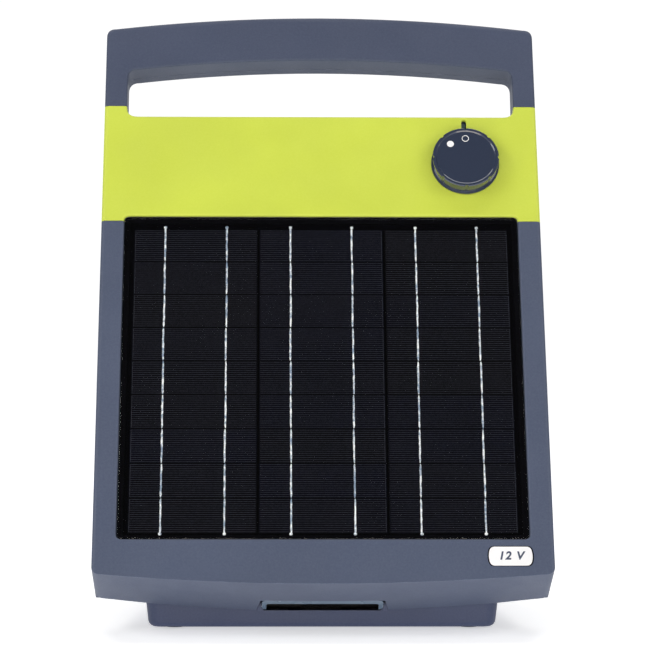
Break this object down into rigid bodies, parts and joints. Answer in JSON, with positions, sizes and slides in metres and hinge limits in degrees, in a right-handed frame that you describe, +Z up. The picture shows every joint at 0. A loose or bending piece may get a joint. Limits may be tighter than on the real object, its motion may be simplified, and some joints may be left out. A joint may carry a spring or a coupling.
{
  "type": "solar fence energizer",
  "caption": "Free-standing electric fence energizer with a sloping solar panel, carrying handle, on/off knob, hinged battery base and rear output terminals.",
  "frame": {"origin": "on the ground under the middle of the case", "axes": "+Z up, the solar panel faces -Y and leans back 30 degrees, +X to the right as seen from the front"},
  "size_m": [0.277, 0.2116, 0.376],
  "materials": {
    "slate_plastic": "fine-textured slate grey moulding",
    "dark_slate_plastic": "fine-textured dark slate moulding",
    "base_plastic": "fine-textured dark slate moulding",
    "lime_plastic": "satin lime moulding",
    "knob_plastic": "satin navy grey moulding",
    "white_print": "white, satin",
    "satin_slate_plastic": "satin slate moulding",
    "black_plastic": "black moulding",
    "black_rubber": "black rubber",
    "panel_glass": "low-iron solar glass",
    "silicon": "blue-black silicon wafer",
    "backsheet_film": "black film",
    "clear_lens": "blue-grey clear lens",
    "steel": "zinc-plated steel",
    "brass": "bare brass",
    "copper_winding": "enamelled copper wire",
    "core_steel": "laminated core steel",
    "board_green": "solder-masked circuit board",
    "battery_plastic": "dark grey battery case",
    "red_plastic": "red moulding",
    "green_plastic": "green moulding",
    "foam": "closed-cell foam",
    "webbing": "woven strap"
  },
  "bodies": {
    "case": {"front_frame": "slate_plastic", "handle_frame": "dark_slate_plastic", "control_fascia": "lime_plastic", "handle_rear": "dark_slate_plastic", "rear_shell": "dark_slate_plastic", "rating_plate": "white_print", "pointer_lens": "clear_lens", "hinge_pin_left": "steel", "hinge_pin_right": "steel", "panel_glass": "panel_glass", "panel_seal": "black_rubber", "panel_backsheet": "backsheet_film", "cell_string_left": "silicon", "cell_string_middle": "silicon", "cell_string_right": "silicon", "panel_junction_box": "black_plastic", "knob_nut": "steel", "rotary_switch": "black_plastic", "control_board": "board_green", "transformer_core": "core_steel", "transformer_winding": "copper_winding", "storage_capacitor_left": "black_plastic", "storage_capacitor_right": "black_plastic", "charge_regulator": "black_plastic", "battery_contact_left": "brass", "battery_contact_right": "brass", "fence_terminal_bush": "black_plastic", "fence_terminal_stud": "steel", "earth_terminal_bush": "black_plastic", "earth_terminal_stud": "steel", "mounting_plate": "steel", "plate_screw_low": "steel", "plate_screw_high": "steel", "case_screw_low_left": "steel", "case_screw_low_right": "steel", "case_screw_high_left": "steel", "case_screw_high_right": "steel", "panel_lead": "black_plastic", "output_lead": "red_plastic"},
    "base": {"base_cover": "base_plastic", "foot_front_left": "black_rubber", "foot_front_right": "black_rubber", "foot_rear_left": "black_rubber", "foot_rear_right": "black_rubber", "bail_pin_left": "steel", "bail_pin_right": "steel", "battery": "battery_plastic", "battery_strap": "webbing", "battery_pad_left": "foam", "battery_pad_right": "foam", "battery_tab_left": "brass", "battery_tab_right": "brass"},
    "knob": {"control_knob": "knob_plastic", "knob_ring": "white_print", "knob_dot": "white_print", "knob_spindle": "steel"},
    "bail": {"latch_bail": "satin_slate_plastic"},
    "fence_nut": {"fence_terminal_nut": "red_plastic"},
    "earth_nut": {"earth_terminal_nut": "green_plastic"}
  },
  "joints": [
    {"name": "knob_turn", "type": "hinge", "parent": "case", "child": "knob", "pos_m": [0.092, 0.0369, 0.28194], "axis": [0, -0.866, 0.5], "range_deg": [-45, 0]},
    {"name": "base_swing", "type": "hinge", "parent": "case", "child": "base", "pos_m": [0, 0.0785, 0.022], "axis": [1, 0, 0], "range_deg": [0, 75]},
    {"name": "bail_swing", "type": "hinge", "parent": "base", "child": "bail", "pos_m": [0, -0.06463, 0.01528], "axis": [1, 0, 0], "range_deg": [0, 60], "stiffness_Nm_per_rad": 0.02, "springref_deg": -17.19},
    {"name": "fence_nut_turn", "type": "hinge", "parent": "case", "child": "fence_nut", "pos_m": [-0.074, 0.0844, 0.118], "axis": [0, 1, 0], "continuous": true},
    {"name": "earth_nut_turn", "type": "hinge", "parent": "case", "child": "earth_nut", "pos_m": [0.074, 0.0844, 0.118], "axis": [0, 1, 0], "continuous": true}
  ]
}
